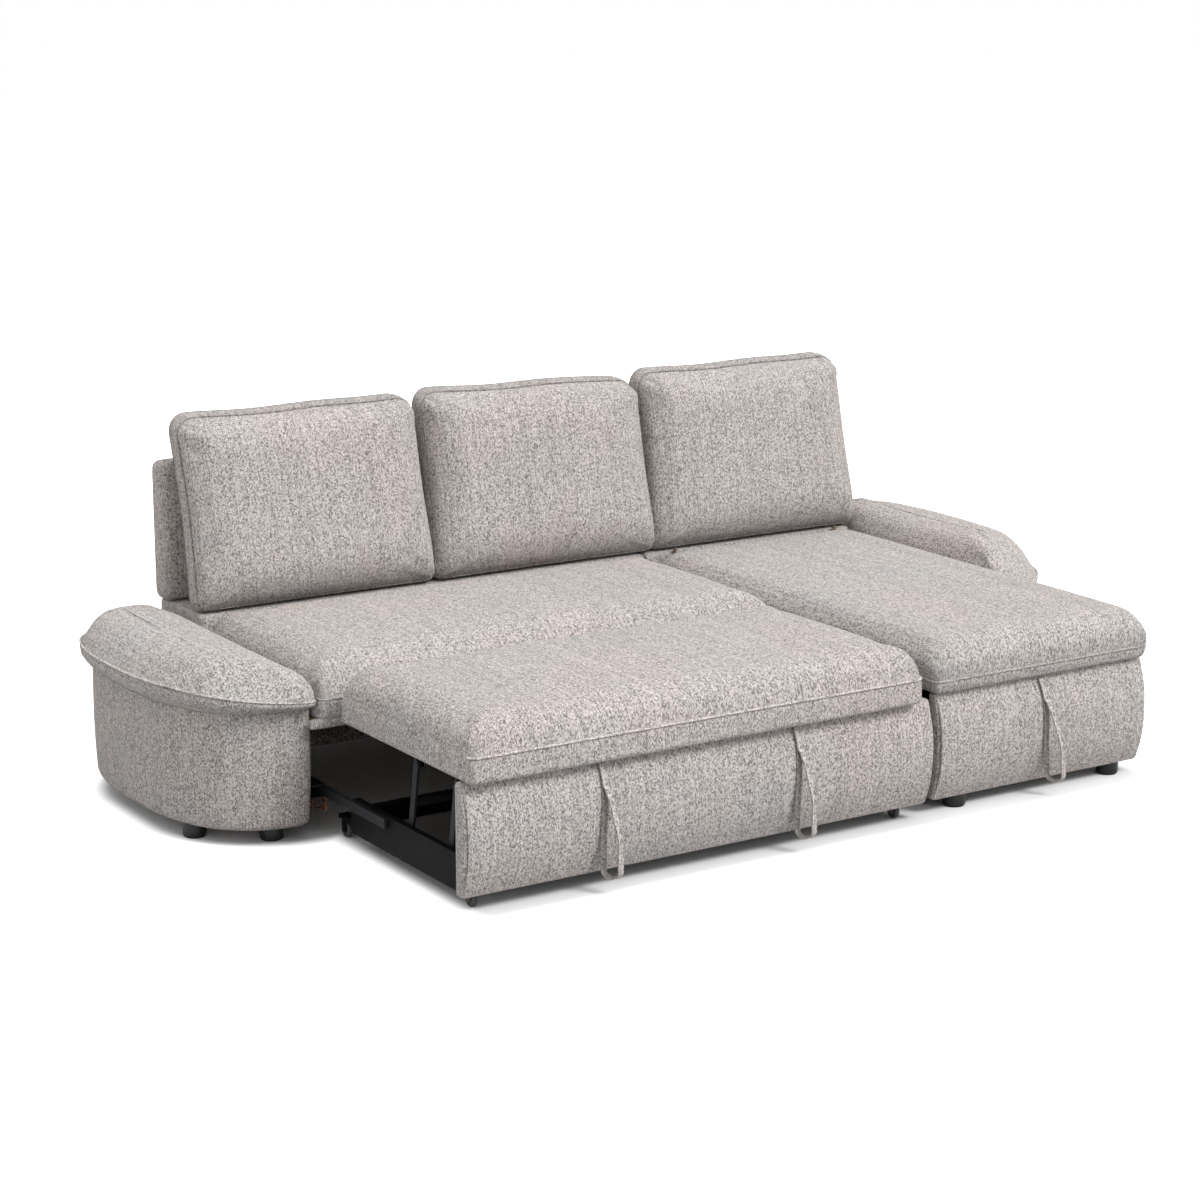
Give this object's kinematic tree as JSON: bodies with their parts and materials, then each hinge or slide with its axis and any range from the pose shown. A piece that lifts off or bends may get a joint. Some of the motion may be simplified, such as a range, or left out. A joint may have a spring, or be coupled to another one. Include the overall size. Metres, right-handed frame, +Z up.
{
  "type": "sleeper sofa with pull out bed",
  "caption": "Corner sleeper sofa with pillow-top D-shaped arms, a rolling pull-out bed with a raised mattress, and a storage chaise with a lifting lid.",
  "frame": {"origin": "on the floor, midway between the arms and midway between the front of the pull straps and the back", "axes": "+X to the sitter's left, towards the chaise, -Y the front that the bed rolls out of, +Z up"},
  "size_m": [2.7, 1.5664, 0.9249],
  "materials": {
    "upholstery": "heathered warm grey chenille tweed",
    "black_board": "black laminated board",
    "grey_board": "grey fibreboard",
    "plywood": "bare plywood",
    "black_plastic": "black moulded plastic",
    "wheel": "dark grey caster wheel",
    "grey_steel": "grey painted steel",
    "bright_steel": "polished rod",
    "copper_steel": "copper-tinted spring wire"
  },
  "bodies": {
    "base": {"left_arm_base": "upholstery", "left_arm_cushion": "upholstery", "right_arm_base": "upholstery", "right_arm_cushion": "upholstery", "seat_cushion": "upholstery", "seat_deck": "plywood", "seat_front_rail": "upholstery", "middle_side_board": "black_board", "rear_box": "upholstery", "left_back_frame": "upholstery", "right_back_frame": "upholstery", "chaise_front_panel": "upholstery", "chaise_left_side": "black_board", "chaise_right_side": "upholstery", "chaise_floor": "grey_board", "chaise_rear_board": "grey_board", "chaise_rear_deck": "upholstery", "left_guide_rail": "grey_steel", "right_guide_rail": "grey_steel", "buffer_spring": "copper_steel", "left_arm_front_foot": "black_plastic", "left_arm_side_foot": "black_plastic", "left_arm_rear_foot": "black_plastic", "right_arm_side_foot": "black_plastic", "right_arm_rear_foot": "black_plastic", "chaise_front_left_foot": "black_plastic", "chaise_front_right_foot": "black_plastic", "bench_rear_foot": "black_plastic", "chaise_rear_foot": "black_plastic"},
    "bed_carriage": {"bed_front_panel": "upholstery", "carriage_left_board": "black_board", "carriage_right_board": "black_board", "carriage_floor": "grey_board", "carriage_rear_rail": "black_board", "left_guide_bar": "grey_steel", "right_guide_bar": "grey_steel"},
    "front_left_caster": {"front_left_wheel": "wheel"},
    "front_right_caster": {"front_right_wheel": "wheel"},
    "rear_left_caster": {"rear_left_wheel": "wheel"},
    "rear_right_caster": {"rear_right_wheel": "wheel"},
    "front_lift": {"front_left_lift_arm": "grey_steel", "front_right_lift_arm": "grey_steel"},
    "rear_lift": {"rear_left_lift_arm": "grey_steel", "rear_right_lift_arm": "grey_steel", "torsion_tube": "grey_steel"},
    "mattress_platform": {"mattress_board": "plywood", "mattress": "upholstery"},
    "chaise_lid": {"lid_board": "plywood", "lid_cushion": "upholstery"},
    "left_strut_lower": {"left_strut_cylinder": "black_plastic"},
    "left_strut_upper": {"left_strut_rod": "bright_steel"},
    "right_strut_lower": {"right_strut_cylinder": "black_plastic"},
    "right_strut_upper": {"right_strut_rod": "bright_steel"},
    "left_loose_cushion": {"left_back_cushion": "upholstery"},
    "middle_loose_cushion": {"middle_back_cushion": "upholstery"},
    "right_loose_cushion": {"right_back_cushion": "upholstery"},
    "left_strap": {"left_pull_strap": "upholstery"},
    "right_strap": {"right_pull_strap": "upholstery"},
    "chaise_strap": {"chaise_pull_strap": "upholstery"}
  },
  "joints": [
    {"name": "bed_roll", "type": "slide", "parent": "base", "child": "bed_carriage", "axis": [0, 1, 0], "range_m": [-0.27, 0]},
    {"name": "front_left_wheel_spin", "type": "hinge", "parent": "bed_carriage", "child": "front_left_caster", "pos_m": [-0.941, -0.66285, 0.02], "axis": [1, 0, 0], "range_deg": [0, 780]},
    {"name": "front_right_wheel_spin", "type": "hinge", "parent": "bed_carriage", "child": "front_right_caster", "pos_m": [0.242, -0.66285, 0.02], "axis": [1, 0, 0], "range_deg": [0, 780]},
    {"name": "rear_left_wheel_spin", "type": "hinge", "parent": "bed_carriage", "child": "rear_left_caster", "pos_m": [-0.941, -0.07885, 0.02], "axis": [1, 0, 0], "range_deg": [0, 780]},
    {"name": "rear_right_wheel_spin", "type": "hinge", "parent": "bed_carriage", "child": "rear_right_caster", "pos_m": [0.242, -0.07885, 0.02], "axis": [1, 0, 0], "range_deg": [0, 780]},
    {"name": "front_lift_swing", "type": "hinge", "parent": "bed_carriage", "child": "front_lift", "pos_m": [0, -0.59685, 0.081], "axis": [-1, 0, 0], "range_deg": [0, 93.2]},
    {"name": "rear_lift_swing", "type": "hinge", "parent": "bed_carriage", "child": "rear_lift", "pos_m": [0, -0.41485, 0.081], "axis": [-1, 0, 0], "range_deg": [0, 93.2]},
    {"name": "mattress_levelling", "type": "hinge", "parent": "front_lift", "child": "mattress_platform", "pos_m": [0, -0.63158, 0.27796], "axis": [-1, 0, 0], "range_deg": [-93.2, 0]},
    {"name": "lid_hinge", "type": "hinge", "parent": "base", "child": "chaise_lid", "pos_m": [0, 0.52915, 0.43], "axis": [-1, 0, 0], "range_deg": [0, 45]},
    {"name": "left_strut_tilt", "type": "hinge", "parent": "base", "child": "left_strut_lower", "pos_m": [0.397, 0.46915, 0.12], "axis": [-1, 0, 0], "range_deg": [0, 25.1]},
    {"name": "left_strut_stroke", "type": "slide", "parent": "left_strut_lower", "child": "left_strut_upper", "axis": [0, -0.84, 0.5425], "range_m": [0, 0.2103]},
    {"name": "right_strut_tilt", "type": "hinge", "parent": "base", "child": "right_strut_lower", "pos_m": [0.979, 0.46915, 0.12], "axis": [-1, 0, 0], "range_deg": [0, 25.1]},
    {"name": "right_strut_stroke", "type": "slide", "parent": "right_strut_lower", "child": "right_strut_upper", "axis": [0, -0.84, 0.5425], "range_m": [0, 0.2103]},
    {"name": "left_cushion_lift", "type": "slide", "parent": "base", "child": "left_loose_cushion", "axis": [0, 0, 1], "range_m": [0, 0.35]},
    {"name": "middle_cushion_lift", "type": "slide", "parent": "base", "child": "middle_loose_cushion", "axis": [0, 0, 1], "range_m": [0, 0.35]},
    {"name": "right_cushion_lift", "type": "slide", "parent": "base", "child": "right_loose_cushion", "axis": [0, 0, 1], "range_m": [0, 0.35]},
    {"name": "left_strap_swing", "type": "hinge", "parent": "bed_carriage", "child": "left_strap", "pos_m": [-0.64087, -0.72853, 0.298], "axis": [-1, 0, 0], "range_deg": [0, 50]},
    {"name": "right_strap_swing", "type": "hinge", "parent": "bed_carriage", "child": "right_strap", "pos_m": [-0.10345, -0.72853, 0.298], "axis": [-1, 0, 0], "range_deg": [0, 50]},
    {"name": "chaise_strap_swing", "type": "hinge", "parent": "base", "child": "chaise_strap", "pos_m": [0.688, -0.70346, 0.298], "axis": [-1, 0, 0], "range_deg": [0, 50]}
  ],
  "couplings": [
    {"joint": "front_left_wheel_spin", "follows": "bed_roll", "rad_per_m": -50},
    {"joint": "front_right_wheel_spin", "follows": "bed_roll", "rad_per_m": -50},
    {"joint": "rear_left_wheel_spin", "follows": "bed_roll", "rad_per_m": -50},
    {"joint": "rear_right_wheel_spin", "follows": "bed_roll", "rad_per_m": -50},
    {"joint": "front_lift_swing", "follows": "bed_roll", "rad_per_m": -6.0185},
    {"joint": "rear_lift_swing", "follows": "bed_roll", "rad_per_m": -6.0185},
    {"joint": "mattress_levelling", "follows": "bed_roll", "rad_per_m": 6.0185},
    {"joint": "left_strut_tilt", "follows": "lid_hinge", "ratio": 0.55607},
    {"joint": "left_strut_stroke", "follows": "lid_hinge", "m_per_rad": 0.26769},
    {"joint": "right_strut_tilt", "follows": "lid_hinge", "ratio": 0.55607},
    {"joint": "right_strut_stroke", "follows": "lid_hinge", "m_per_rad": 0.26769}
  ]
}
